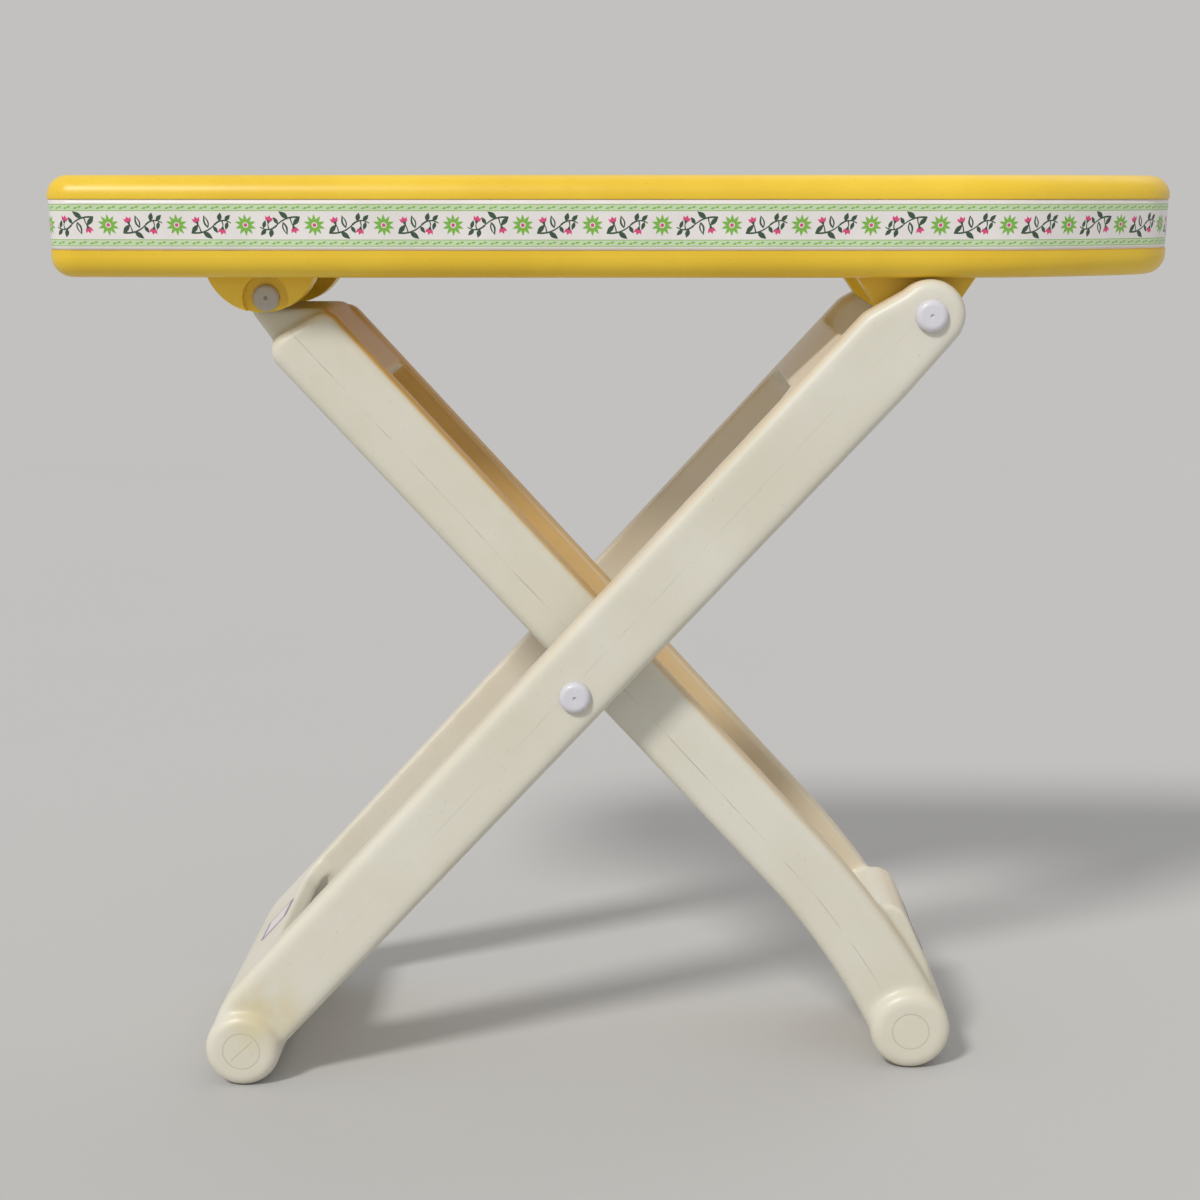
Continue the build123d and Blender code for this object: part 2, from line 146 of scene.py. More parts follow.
class Graph:
    """Short helper that adds and links shader nodes in one tree."""

    def __init__(self, tree):
        self.tree = tree

    def add(self, kind, **values):
        node = self.tree.nodes.new(kind)
        for name, value in values.items():
            setattr(node, name, value)
        return node

    def link(self, source, target):
        self.tree.links.new(source, target)

    def math(self, operation, a, b=0.0, c=0.0, clamp=False):
        node = self.add("ShaderNodeMath", operation=operation, use_clamp=clamp)
        for socket, value in zip(node.inputs, (a, b, c)):
            self.put(value, socket)
        return node.outputs[0]

    def vector(self, operation, a, b=(0, 0, 0)):
        node = self.add("ShaderNodeVectorMath", operation=operation)
        self.put(a, node.inputs[0])
        self.put(b, node.inputs[1])
        return node

    def put(self, value, socket):
        if isinstance(value, bpy.types.NodeSocket):
            self.link(value, socket)
        else:
            socket.default_value = value

    def noise(self, where, scale, detail=2.0, rough=0.5, seed=0.0):
        node = self.add("ShaderNodeTexNoise", noise_dimensions="4D")
        self.put(where, node.inputs["Vector"])
        self.put(scale, node.inputs["Scale"])
        node.inputs["Detail"].default_value = detail
        node.inputs["Roughness"].default_value = rough
        node.inputs["W"].default_value = seed
        return node.outputs["Fac"]

    def ramp(self, value, low, high):
        node = self.add("ShaderNodeMapRange", clamp=True, interpolation_type="SMOOTHSTEP")
        self.put(value, node.inputs["Value"])
        node.inputs["From Min"].default_value = low
        node.inputs["From Max"].default_value = high
        return node.outputs["Result"]

    def blend(self, factor, a, b):
        node = self.add("ShaderNodeMix", data_type="RGBA")
        self.put(factor, node.inputs[0])
        self.put(a, node.inputs[6])
        self.put(b, node.inputs[7])
        return node.outputs[2]

    def group(self, tree, **values):
        node = self.add("ShaderNodeGroup", node_tree=tree)
        for name, value in values.items():
            self.put(value, node.inputs[name.replace("_", " ")])
        return node


def new_group(name, inputs, outputs):
    """Node group with float or colour sockets, and its Graph with both ends."""
    tree = bpy.data.node_groups.new(name, "ShaderNodeTree")
    for socket, (kind, value) in inputs.items():
        made = tree.interface.new_socket(socket, in_out="INPUT", socket_type=kind)
        if value is not None:
            made.default_value = value
    for socket, kind in outputs.items():
        tree.interface.new_socket(socket, in_out="OUTPUT", socket_type=kind)
    graph = Graph(tree)
    return graph, graph.add("NodeGroupInput"), graph.add("NodeGroupOutput")


FLOAT = "NodeSocketFloat"


def moulded_skin_group():
    """Blow-moulded skin: slow ripples, fine grain and a cloudy tone."""
    g, given, out = new_group(
        "moulded_skin",
        {"Ripple": (FLOAT, 1.0), "Grain": (FLOAT, 1.0), "Seed": (FLOAT, 0.0)},
        {"Height": FLOAT, "Cloud": FLOAT, "Speck": FLOAT})
    where = g.add("ShaderNodeTexCoord").outputs["Object"]
    ripple = g.noise(where, 14.0, 1.0, 0.4, 1.3)
    dimple = g.noise(where, 90.0, 2.0, 0.5, 2.7)
    grain = g.noise(where, 2200.0, 2.0, 0.6, 4.1)
    slow = g.math("MULTIPLY", ripple, given.outputs["Ripple"])
    middle = g.math("MULTIPLY_ADD", dimple, 0.10, slow)
    fine = g.math("MULTIPLY", grain, given.outputs["Grain"])
    height = g.math("MULTIPLY_ADD", fine, 0.015, middle)
    g.link(height, out.inputs["Height"])
    shifted = g.vector("ADD", where)
    both = g.add("ShaderNodeCombineXYZ")
    g.link(given.outputs["Seed"], both.inputs[0])
    g.link(both.outputs[0], shifted.inputs[1])
    g.link(g.noise(shifted.outputs[0], 9.0, 4.0, 0.6, 6.0), out.inputs["Cloud"])
    speck = g.noise(shifted.outputs[0], 420.0, 1.0, 0.5, 8.0)
    g.link(g.ramp(speck, 0.70, 0.76), out.inputs["Speck"])
    return g.tree


def handling_wear_group():
    """Marks of use, rubbed edges and light scuffs, and a patchy darkening in the hollows."""
    g, given, out = new_group(
        "handling_wear", {"Amount": (FLOAT, 1.0)}, {"Rub": FLOAT, "Scuff": FLOAT, "Grime": FLOAT})
    where = g.add("ShaderNodeTexCoord").outputs["Object"]
    point = g.add("ShaderNodeNewGeometry").outputs["Pointiness"]
    patchy = g.ramp(g.noise(where, 38.0, 4.0, 0.65, 11.0), 0.42, 0.66)
    rub = g.math("MULTIPLY", g.ramp(point, 0.515, 0.60), patchy)
    g.link(g.math("MULTIPLY", rub, given.outputs["Amount"]), out.inputs["Rub"])
    stretch = g.vector("MULTIPLY", where, (26.0, 210.0, 260.0))
    lines = g.ramp(g.noise(stretch.outputs[0], 1.0, 3.0, 0.7, 13.0), 0.69, 0.78)
    region = g.ramp(g.noise(where, 13.0, 2.0, 0.5, 15.0), 0.50, 0.68)
    scuff = g.math("MULTIPLY", lines, region)
    g.link(g.math("MULTIPLY", scuff, given.outputs["Amount"]), out.inputs["Scuff"])
    # Patchy darkening where the surface is concave.
    hollow = g.ramp(point, 0.49, 0.42)
    darkening = g.math("MULTIPLY", hollow, g.ramp(g.noise(where, 60.0, 5.0, 0.7, 17.0), 0.35, 0.7))
    g.link(g.math("MULTIPLY", darkening, given.outputs["Amount"]), out.inputs["Grime"])
    return g.tree


def seam_group():
    """Mould parting seam along a plane, as a thin line mask that fades in and out."""
    g, given, out = new_group(
        "parting_seam", {"Distance": (FLOAT, 0.0), "Width": (FLOAT, 0.0004)}, {"Line": FLOAT})
    where = g.add("ShaderNodeTexCoord").outputs["Object"]
    wander = g.math("SUBTRACT", g.noise(where, 25.0, 1.0, 0.5, 19.0), 0.5)
    off = g.math("MULTIPLY_ADD", wander, 0.0012, given.outputs["Distance"])
    away = g.math("ABSOLUTE", off)
    share = g.math("DIVIDE", away, given.outputs["Width"])
    line = g.math("SUBTRACT", 1.0, share, clamp=True)
    patchy = g.ramp(g.noise(where, 30.0, 2.0, 0.5, 21.0), 0.38, 0.62)
    g.link(g.math("MULTIPLY", line, patchy), out.inputs["Line"])
    return g.tree


def new_material(name):
    """Empty material with a Principled BSDF joined to its output."""
    material = bpy.data.materials.new(name)
    material.use_nodes = True
    material.node_tree.nodes.clear()
    graph = Graph(material.node_tree)
    shader = graph.add("ShaderNodeBsdfPrincipled")
    output = graph.add("ShaderNodeOutputMaterial")
    graph.link(shader.outputs[0], output.inputs["Surface"])
    return material, graph, shader


def set_bump(graph, shader, height, distance, strength=1.0):
    bump = graph.add("ShaderNodeBump")
    bump.inputs["Strength"].default_value = strength
    bump.inputs["Distance"].default_value = distance
    graph.link(height, bump.inputs["Height"])
    graph.link(bump.outputs[0], shader.inputs["Normal"])


def rgba(colour, gain=1.0):
    return (*(min(1.0, c * gain) for c in colour), 1.0)


def plastic(name, colour, shade, effects, rough=0.38, ripple=1.0, wear=1.0, seed=0.0, soft=0.0):
    """Satin moulded plastic with cloudy tone, rubbed edges, scuffs and a patchy dark brown in its hollows."""
    material, g, shader = new_material(name)
    skin = g.group(effects["skin"], Ripple=ripple, Seed=seed)
    marks = g.group(effects["wear"], Amount=wear)
    tone = g.blend(g.ramp(skin.outputs["Cloud"], 0.35, 0.68), rgba(shade), rgba(colour))
    tone = g.blend(g.math("MULTIPLY", marks.outputs["Rub"], 0.35), tone, rgba(colour, 1.25))
    tone = g.blend(g.math("MULTIPLY", marks.outputs["Scuff"], 0.30), tone, rgba(shade, 0.55))
    # Patchy dark brown laid into the hollows.
    tone = g.blend(g.math("MULTIPLY", marks.outputs["Grime"], 0.45), tone, rgba((0.16, 0.12, 0.07)))
    tone = g.blend(g.math("MULTIPLY", skin.outputs["Speck"], 0.22), tone, rgba(shade, 0.5))
    rough_now = g.math("MULTIPLY_ADD", skin.outputs["Cloud"], 0.16, rough - 0.08)
    rough_now = g.math("MULTIPLY_ADD", marks.outputs["Scuff"], 0.18, rough_now, clamp=True)
    g.link(rough_now, shader.inputs["Roughness"])
    if soft:
        shader.inputs["Subsurface Weight"].default_value = soft
        shader.inputs["Subsurface Radius"].default_value = (0.006, 0.005, 0.003)
        shader.inputs["Subsurface Scale"].default_value = 1.0
    shader.inputs["Specular IOR Level"].default_value = 0.5
    return material, g, shader, tone, skin.outputs["Height"]


def yellow_material(settings, effects):
    """Yellow board plastic."""
    colour = settings.yellow
    shade = (colour[0] * 0.93, colour[1] * 0.89, colour[2] * 0.7)
    material, g, shader, tone, height = plastic(
        "yellow_moulded", colour, shade, effects, rough=0.36, ripple=1.4, soft=0.08)
    g.link(tone, shader.inputs["Base Color"])
    set_bump(g, shader, height, 0.0009, 0.55)
    return material


def foot_marks(g, where, foot, half, slanted):
    """Mask of the thin ring, and of the short slanted line if slanted is 1, on both ends of a foot bar."""
    offset = g.vector("SUBTRACT", where, tuple(foot)).outputs[0]
    flat = g.vector("MULTIPLY", offset, (1, 0, 1)).outputs[0]
    radius = g.vector("LENGTH", flat).outputs["Value"]
    ring_gap = g.math("ABSOLUTE", g.math("SUBTRACT", radius, 0.012))
    ring = g.math("MULTIPLY_ADD", ring_gap, -1 / 0.0006, 1.0, clamp=True)
    slant_gap = g.math("ABSOLUTE", g.vector("DOT_PRODUCT", flat, (0.68, 0, -0.73)).outputs["Value"])
    slant = g.math("MULTIPLY_ADD", slant_gap, -1 / 0.0005, 1.0, clamp=True)
    slant = g.math("MULTIPLY", slant, g.ramp(radius, 0.010, 0.009))
    slant = g.math("MULTIPLY", slant, slanted)
    out = g.math("ABSOLUTE", g.vector("DOT_PRODUCT", where, (0, 1, 0)).outputs["Value"])
    marks = g.math("MULTIPLY", g.math("MAXIMUM", ring, slant), g.ramp(out, half - 0.004, half - 0.002))
    return marks, g.ramp(radius, 0.024, 0.032)


def leg_material(name, settings, effects, top, foot, plan):
    """Cream leg plastic with a parting seam down the arms, moulded foot marks, a yellowed neck and a painted
    reflection of the yellow board on the faces turned towards it.
    """
    colour = settings.cream
    shade = (colour[0] * 0.94, colour[1] * 0.93, colour[2] * 0.88)
    material, g, shader, tone, height = plastic(
        name, colour, shade, effects, rough=0.40, ripple=1.2, seed=plan["seed"], soft=0.12)
    where = g.add("ShaderNodeTexCoord").outputs["Object"]
    along = (foot - top).normalized()
    across = Vector((-along.z, 0, along.x))
    offset = g.vector("SUBTRACT", where, tuple(top)).outputs[0]
    reach = g.vector("DOT_PRODUCT", offset, tuple(along)).outputs["Value"]
    aside = g.vector("DOT_PRODUCT", offset, tuple(across)).outputs["Value"]
    late = g.math("MAXIMUM", g.math("SUBTRACT", reach, plan["bend"]), 0.0)
    droop = g.math("MULTIPLY", g.math("MULTIPLY", late, late), plan["curl"])
    middle = g.math("SUBTRACT", g.math("MULTIPLY_ADD", reach, plan["rise"], plan["offset"]), droop)
    seam = g.group(effects["seam"], Distance=g.math("SUBTRACT", aside, middle), Width=0.00050).outputs["Line"]
    half = plan["half"]
    marks, off_foot = foot_marks(g, where, foot, half, plan["slanted"])
    seam = g.math("MULTIPLY", g.math("MULTIPLY", seam, plan["seam"]), off_foot)
    lines = g.math("MAXIMUM", seam, g.math("MULTIPLY", marks, 0.7))
    tone = g.blend(g.math("MULTIPLY", lines, 0.6), tone, rgba((0.30, 0.26, 0.18)))
    # Painted reflection: faces turned up or inward toward the board's underside are tinted with the yellow
    # board's bounce light, strongest at the top and fading toward the foot.
    normal = g.add("ShaderNodeTexCoord").outputs["Normal"]
    upper = g.vector("DOT_PRODUCT", normal, tuple(across * plan["upper"])).outputs["Value"]
    side = g.math("SIGN", g.vector("DOT_PRODUCT", where, (0, 1, 0)).outputs["Value"])
    inward = g.math("MULTIPLY", g.vector("DOT_PRODUCT", normal, (0, -1, 0)).outputs["Value"], side)
    bounce_faces = g.math("MAXIMUM", g.ramp(upper, 0.55, 0.95), g.ramp(inward, 0.5, 0.9))
    painted_bounce = g.math("MULTIPLY", bounce_faces, g.ramp(reach, 0.80, 0.05))
    tone = g.blend(g.math("MULTIPLY", painted_bounce, plan["painted_bounce"]), tone, rgba(plan["painted_bounce_colour"]))
    neck = foot + Vector((0.014, -half + 0.008, 0.024))
    near = g.vector("DISTANCE", where, tuple(neck)).outputs["Value"]
    mottle = g.noise(where, 34.0, 3.0, 0.6, 3.0)
    patch = g.math("MULTIPLY", g.ramp(near, 0.034, 0.006), g.ramp(mottle, 0.3, 0.6))
    tone = g.blend(g.math("MULTIPLY", patch, plan["stain"]), tone, rgba((0.62, 0.52, 0.27)))
    g.link(tone, shader.inputs["Base Color"])
    grooved = g.math("MULTIPLY_ADD", lines, -0.35, height)
    set_bump(g, shader, grooved, 0.0009, 0.6)
    return material


def pin_material(name, colour, effects):
    """White pin plastic, or a darkened white that paints shade."""
    shade = tuple(c * 0.93 for c in colour)
    material, g, shader, tone, height = plastic(
        name, colour, shade, effects, rough=0.33, ripple=0.3, soft=0.1)
    g.link(tone, shader.inputs["Base Color"])
    set_bump(g, shader, height, 0.0004, 0.5)
    return material


def ink_material(name, colour, effects):
    """Printed paper under a thin varnish, with pale rubbed scuffs and fine paper grain."""
    material, g, shader = new_material(name)
    where = g.add("ShaderNodeTexCoord").outputs["Object"]
    marks = g.group(effects["wear"], Amount=1.0)
    fibre = g.noise(where, 1500.0, 3.0, 0.7, 23.0)
    cloud = g.noise(where, 22.0, 3.0, 0.6, 25.0)
    tone = g.blend(g.ramp(cloud, 0.35, 0.7), rgba(colour, 0.93), rgba(colour))
    tone = g.blend(g.math("MULTIPLY", g.ramp(fibre, 0.45, 0.8), 0.10), tone, rgba((0.85, 0.85, 0.83)))
    tone = g.blend(g.math("MULTIPLY", marks.outputs["Scuff"], 0.5), tone, rgba((0.78, 0.76, 0.72)))
    g.link(tone, shader.inputs["Base Color"])
    g.link(g.math("MULTIPLY_ADD", cloud, 0.2, 0.24), shader.inputs["Roughness"])
    set_bump(g, shader, fibre, 0.00004, 0.4)
    return material


def studio_material(colour):
    """Matt floor with a faint unevenness."""
    material, g, shader = new_material("studio_floor")
    where = g.add("ShaderNodeTexCoord").outputs["Object"]
    tone = g.blend(g.noise(where, 1.5, 3.0, 0.5, 5.0), rgba(colour, 0.985), rgba(colour, 1.015))
    g.link(tone, shader.inputs["Base Color"])
    shader.inputs["Roughness"].default_value = 1.0
    shader.inputs["Specular IOR Level"].default_value = 0.0
    return material


def shared_effects():
    """The three node groups, made once and looked up by later operators."""
    makers = {"skin": ("moulded_skin", moulded_skin_group), "wear": ("handling_wear", handling_wear_group),
              "seam": ("parting_seam", seam_group)}
    return {key: bpy.data.node_groups.get(name) or make() for key, (name, make) in makers.items()}


def give_material(node, material):
    """Puts one material in every slot of a CAD node's object."""
    piece = frame["nodes"][node]
    if not piece.material_slots:
        piece.data.materials.append(material)
    for place in piece.material_slots:
        place.material = material


def new_object(name, mesh):
    piece = bpy.data.objects.new(name, mesh)
    bpy.context.collection.objects.link(piece)
    return piece


# ---------------------------------------------------------------- leg frames

OUTER_FOOT_R, INNER_FOOT_R = 0.0245, 0.0265
# The last two entries of each plan give the painted reflection of the yellow board's bounce light on the
# leg's upward and inward faces: its strength and its colour.
LEG_PLANS = {
    "outer_leg": {"half": 0.110, "seed": 0.0, "rise": 0.0, "bend": 1.0, "curl": 0.0,
                  "offset": -0.004, "seam": 0.35, "stain": 0.6,
                  "slanted": 1.0, "upper": -1.0,
                  "painted_bounce": 0.35, "painted_bounce_colour": (0.80, 0.62, 0.42)},
    "inner_leg": {"half": 0.072, "seed": 0.7, "rise": 0.03, "bend": 0.499, "curl": 0.983,
                  "offset": -0.0045, "seam": 1.0, "stain": 0.0,
                  "slanted": 0.0, "upper": 1.0,
                  "painted_bounce": 0.95, "painted_bounce_colour": (0.62, 0.36, 0.07)},
}


def outer_faces(mesh):
    """Keeps only the outside of a hollow moulding: the connected faces with the largest box."""
    bm = bmesh.new()
    bm.from_mesh(mesh)
    bmesh.ops.remove_doubles(bm, verts=bm.verts, dist=1e-6)
    unseen = set(bm.verts)
    groups = []
    while unseen:
        stack = [unseen.pop()]
        group = list(stack)
        while stack:
            for edge in stack.pop().link_edges:
                for other in edge.verts:
                    if other in unseen:
                        unseen.discard(other)
                        stack.append(other)
                        group.append(other)
        groups.append(group)

    def width(group):
        return max(v.co.y for v in group) - min(v.co.y for v in group)

    keep = max(groups, key=lambda group: (round(width(group), 4), len(group)))
    doomed = [v for group in groups if group is not keep for v in group]
    bmesh.ops.delete(bm, geom=doomed, context="VERTS")
    bm.to_mesh(mesh)
    bm.free()


def apply_modifiers(piece):
    graph = bpy.context.evaluated_depsgraph_get()
    mesh = bpy.data.meshes.new_from_object(piece.evaluated_get(graph))
    piece.modifiers.clear()
    piece.data = mesh


def soften(node, name, voxel, rounds):
    """Copy of a CAD leg with the soft, blended corners of a blow moulding."""
    piece = new_object(name, frame["nodes"][node].data.copy())
    piece.data.materials.clear()
    outer_faces(piece.data)
    remesh = piece.modifiers.new("remesh", "REMESH")
    remesh.mode = "VOXEL"
    remesh.voxel_size = voxel
    smooth = piece.modifiers.new("smooth", "SMOOTH")
    smooth.factor = 0.5
    smooth.iterations = rounds
    apply_modifiers(piece)
    low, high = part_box(node)
    for vertex in piece.data.vertices:
        vertex.co = Vector(min(max(c, l), h) for c, l, h in zip(vertex.co, low, high))
    piece.data.shade_smooth()
    return piece


class IRONING_OT_legs(bpy.types.Operator):
    """Build both leg frames as soft-cornered cream mouldings"""
    bl_idname = "ironing.legs"
    bl_label = "Build leg frames"

    def execute(self, context):
        settings = context.scene.ironing_board
        effects = shared_effects()
        outer_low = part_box("outer_leg")[0]
        inner_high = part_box("inner_leg")[1]
        outer_foot = Vector((outer_low.x + OUTER_FOOT_R, 0, OUTER_FOOT_R))
        inner_foot = Vector((inner_high.x - INNER_FOOT_R, 0, INNER_FOOT_R))
        plans = (("outer_leg", HINGE, outer_foot), ("inner_leg", centre("cradle_rod"), inner_foot))
        for node, top, foot in plans:
            name = node + "_moulding"
            piece = soften(node, name, settings.leg_voxel, settings.leg_rounds)
            top = Vector((top.x, 0, top.z))
            piece.data.materials.append(leg_material(name, settings, effects, top, foot, LEG_PLANS[node]))
            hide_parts(node)
            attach(piece, node)
        return {"FINISHED"}


# ---------------------------------------------------------------- board and pins

class IRONING_OT_board(bpy.types.Operator):
    """Finish the hollow board in yellow plastic"""
    bl_idname = "ironing.board"
    bl_label = "Finish board"

    def execute(self, context):
        give_material("board_shell", yellow_material(context.scene.ironing_board, shared_effects()))
        return {"FINISHED"}


class IRONING_OT_pins(bpy.types.Operator):
    """Finish the pins and their caps in white plastic, and the cradle rod in white darkened as painted shade
    """
    bl_idname = "ironing.pins"
    bl_label = "Finish pins"

    def execute(self, context):
        effects = shared_effects()
        white = context.scene.ironing_board.white
        clean = pin_material("white_moulded", white, effects)
        # Painted shade: the rod sits deep under the board's overhang, so its white is darkened and warmed to
        # paint that shade.
        shaded_white = tuple(c * g for c, g in zip(white, (0.66, 0.62, 0.50)))
        rod_white_shaded = pin_material("greyed_moulded", shaded_white, effects)
        for node in frame["nodes"]:
            if "pin" in node:
                give_material(node, clean)
            if "rod" in node:
                give_material(node, rod_white_shaded)
        return {"FINISHED"}


# ---------------------------------------------------------------- printed border

class BorderPath:
    """Outline of the board where the border lies, by distance along it and height share."""

    def __init__(self, side, samples=1400):
        mesh = frame["nodes"]["border_label_" + side].data
        corners = [v.co.copy() for v in mesh.vertices]
        tree = BVHTree.FromPolygons(corners, [p.vertices[:] for p in mesh.polygons])
        height = LABEL_HIGH.z - LABEL_LOW.z
        sign = -1 if side == "near" else 1
        self.rows = []
        for share in (0.02, 0.98):
            z = LABEL_LOW.z + share * height
            self.rows.append([self.hit(tree, i / samples, z, sign) for i in range(samples + 1)])
        low = self.rows[0]
        self.reach = [0.0]
        for a, b in zip(low, low[1:]):
            self.reach.append(self.reach[-1] + (b - a).length)
        self.length = self.reach[-1]

    @staticmethod
    def hit(tree, share, z, sign):
        """Outermost point of the strip in the direction given by share, from square end to nose."""
        angle = pi * (1 - min(max(share, 1e-5), 1 - 1e-5))
        squeeze = Vector((cos(angle) * 3.2, sign * sin(angle), 0)).normalized()
        middle = Vector(((LABEL_LOW.x + LABEL_HIGH.x) / 2, 0, z))
        place = tree.ray_cast(middle + squeeze * 2, -squeeze)[0]
        if place is None:
            raise RuntimeError("the border's path misses the board")
        return place

    def at(self, distance, share):
        """Point on the strip; share runs from 0 at its lower edge to 1 at its upper edge."""
        distance = min(max(distance, 0.0), self.length)
        low, high = 0, len(self.reach) - 1
        while high - low > 1:
            middle = (low + high) // 2
            if self.reach[middle] <= distance:
                low = middle
            else:
                high = middle
        part = (distance - self.reach[low]) / max(self.reach[high] - self.reach[low], 1e-9)
        bottom = self.rows[0][low].lerp(self.rows[0][high], part)
        top = self.rows[1][low].lerp(self.rows[1][high], part)
        return bottom.lerp(top, (share - 0.02) / 0.96)


def ellipse_leaf(x, y, angle, length, width, points=7):
    """Pointed leaf with its stalk end at x, y."""
    outline = []
    for i in range(points + 1):
        t = i / points
        outline.append((t * length, width / 2 * sin(pi * t) * (1.25 - 0.5 * t)))
    lower = [(px, -py) for px, py in outline[-2:0:-1]]
    return turned(outline + lower, x, y, angle)


def turned(points, x, y, angle):
    c, s = cos(radians(angle)), sin(radians(angle))
    return [(x + px * c - py * s, y + px * s + py * c) for px, py in points]


def disc(x, y, r, points=12):
    return [(x + r * cos(2 * pi * i / points), y + r * sin(2 * pi * i / points)) for i in range(points)]


def stroke(points, width):
    """Ribbon of one width along a line of points, tapered to its far end."""
    left, right = [], []
    for i, (x, y) in enumerate(points):
        ax, ay = points[max(i - 1, 0)]
        bx, by = points[min(i + 1, len(points) - 1)]
        size = sqrt((bx - ax) ** 2 + (by - ay) ** 2)
        half = width / 2 * (1 - 0.45 * i / (len(points) - 1))
        nx, ny = -(by - ay) / size * half, (bx - ax) / size * half
        left.append((x + nx, y + ny))
        right.append((x - nx, y - ny))
    return left + right[::-1]


def curve(start, bend, end, points=9):
    """Points on a quadratic curve."""
    made = []
    for i in range(points):
        t = i / (points - 1)
        made.append(tuple((1 - t) ** 2 * a + 2 * t * (1 - t) * b + t * t * c
                          for a, b, c in zip(start, bend, end)))
    return made


def daisy(x, y):
    """Ten slim pointed petals round a small centre."""
    shapes = [("lime", ellipse_leaf(x, y, 36 * i + 90, 6.7, 2.15)) for i in range(10)]
    return shapes + [("paper", disc(x, y, 1.75)), ("pink", disc(x, y, 1.15))]


def bud(x, y, angle):
    """Three-pointed bud that opens in the direction of angle."""
    cup = [(0, 0.5), (1.0, 2.0), (3.3, 2.5), (2.6, 1.1), (4.2, 0.0),
           (2.6, -1.1), (3.3, -2.5), (1.0, -2.0), (0, -0.5)]
    base = [(-0.9, 0.5), (0.9, 1.1), (0.9, -1.1), (-0.9, -0.5)]
    return [("pink", turned(cup, x, y, angle)), ("leaf", turned(base, x, y, angle))]


def sprig(x, y, flip):
    """Curved stem with leaves and two buds, or the same turned half round."""
    shapes = [("leaf", stroke(curve((-12.6, -4.6), (-4.0, -6.0), (2.5, 0.6)), 1.25))]
    shapes.append(("leaf", stroke(curve((2.0, 0.2), (7.0, 4.8), (12.4, 1.2)), 1.15)))
    leaves = ((-12.4, -4.8, 48, 7.2, 2.9), (-5.4, -4.0, 322, 7.0, 3.2), (-2.0, -2.0, 104, 8.2, 3.3),
              (5.0, 2.4, 74, 5.4, 2.9), (8.6, 2.6, 44, 5.2, 2.6), (10.4, 2.0, 250, 5.4, 2.3),
              (1.2, -0.6, 300, 5.0, 2.4))
    shapes += [("leaf", ellipse_leaf(*leaf)) for leaf in leaves]
    shapes.append(("paper", ellipse_leaf(-2.2, -0.6, 104, 5.4, 1.2)))
    shapes.append(("leaf", stroke([(-6.6, -4.4), (-7.2, -1.6), (-8.0, 0.8)], 0.9)))
    shapes.append(("leaf", stroke([(7.0, 2.6), (7.4, 0.2), (7.0, -1.4)], 0.9)))
    shapes += bud(-8.3, 1.2, 106) + bud(6.9, -1.9, 254)
    turn = 180 if flip else 0
    return [(ink, turned(points, x, y, turn)) for ink, points in shapes]


def edging_band(length, middle, half):
    """Pale band between two thin lines, with a small pair of leaves at each step."""
    def strip(centre_line, reach):
        low, high = centre_line - reach, centre_line + reach
        return [(0, low), (length, low), (length, high), (0, high)]

    shapes = [("edging", strip(middle, half))]
    for edge in (middle - half, middle + half):
        shapes.append(("lime", strip(edge, 0.2)))
    steps = 6
    for i in range(steps):
        x = (i + 0.5) * length / steps
        shapes.append(("lime", ellipse_leaf(x, middle, 14, 2.8, 1.2, 4)))
        shapes.append(("lime", ellipse_leaf(x, middle, 194, 2.8, 1.2, 4)))
    return shapes


INK_ORDER = ("paper", "lime", "pink", "leaf", "edging")
SQUARE_END_PRINT = 0.0932


def inside(point, polygon):
    """Even-odd test of a point in a polygon."""
    x, y = point
    found = False
    for (ax, ay), (bx, by) in zip(polygon, polygon[1:] + polygon[:1]):
        if (ay > y) != (by > y) and x < (bx - ax) * (y - ay) / (by - ay) + ax:
            found = not found
    return found


def border_tile(length, height, flip):
    """One flat repeat of the print, as points, triangles and each triangle's ink."""
    middle = height / 2
    shapes = edging_band(length, 4.4, 1.9) + edging_band(length, height - 4.7, 1.9)
    shapes += daisy(0.0, middle)[:-2] + daisy(length, middle)[:-2]
    shapes += daisy(0.0, middle)[-2:] + daisy(length, middle)[-2:]
    shapes += sprig(length / 2, middle, flip)
    kept = []
    for ink, points in shapes:
        clipped = [(min(max(px, 0.0), length), py) for px, py in points]
        kept.append((ink, clipped))
    verts, edges = [], []
    for ink, points in kept:
        first = len(verts)
        verts += [Vector(p) for p in points]
        edges += [(first + i, first + (i + 1) % len(points)) for i in range(len(points))]
    columns = round(length / 2.6)
    for i in range(columns + 1):
        x = length * i / columns
        verts += [Vector((x, 0)), Vector((x, height))]
        edges.append((len(verts) - 2, len(verts) - 1))
    for y in (0, height):
        verts += [Vector((0, y)), Vector((length, y))]
        edges.append((len(verts) - 2, len(verts) - 1))
    points, _, faces, _, _, _ = delaunay_2d_cdt(verts, edges, [], 0, 1e-4, False)
    boxes = [(min(x for x, y in p), max(x for x, y in p), min(y for x, y in p), max(y for x, y in p))
             for ink, p in kept]
    inks = []
    for face in faces:
        mid = sum((points[i] for i in face), Vector((0, 0))) / len(face)
        ink = "paper"
        for (name, polygon), (x0, x1, y0, y1) in zip(kept, boxes):
            if x0 <= mid.x <= x1 and y0 <= mid.y <= y1 and inside(mid, polygon):
                ink = name
        inks.append(ink)
    return points, faces, inks


